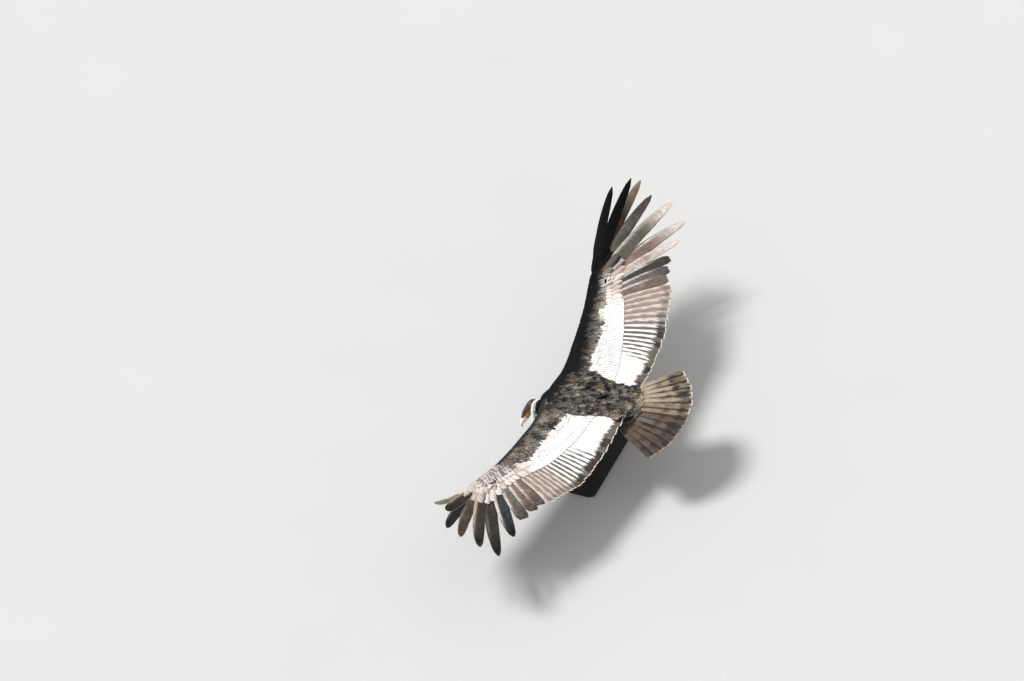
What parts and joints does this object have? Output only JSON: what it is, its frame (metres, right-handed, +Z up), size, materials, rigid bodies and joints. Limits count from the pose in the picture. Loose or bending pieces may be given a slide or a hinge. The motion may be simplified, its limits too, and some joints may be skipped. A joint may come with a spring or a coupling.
{
  "type": "andean condor museum model",
  "caption": "Soaring Andean condor with spread, fingered wings, fanned tail, white neck ruff and comb, as a still life-size museum model on rods over a flat base.",
  "frame": {"origin": "middle of the underside of the stand's base, on the floor", "axes": "+X to the bird's left along the wingspan, -Y to its head, +Z up"},
  "size_m": [3.1103, 1.026, 0.853],
  "materials": {
    "skin": "bare wrinkled skin, satin",
    "comb": "fleshy comb, satin",
    "plumage": "blackish body feathers",
    "flight": "black, brown and white flight feathers",
    "down": "soft white down",
    "horn": "ivory horn, semi-gloss",
    "eye": "glossy brown eye",
    "leg": "grey scaled skin",
    "steel": "satin black powder coat"
  },
  "bodies": {
    "root": {"torso": "plumage", "neck": "skin", "ruff": "down", "head": "skin", "comb": "comb", "bill_lower": "horn", "bill_upper": "horn", "tail": "flight", "wing_left_inner": "flight", "wing_left_outer": "flight", "wing_right_inner": "flight", "wing_right_outer": "flight", "eye_left": "eye", "eye_right": "eye", "leg_left": "leg", "leg_right": "leg", "foot_left": "leg", "foot_right": "leg", "stand_base": "steel", "stand_rod_front": "steel", "stand_rod_rear": "steel"}
  },
  "joints": []
}
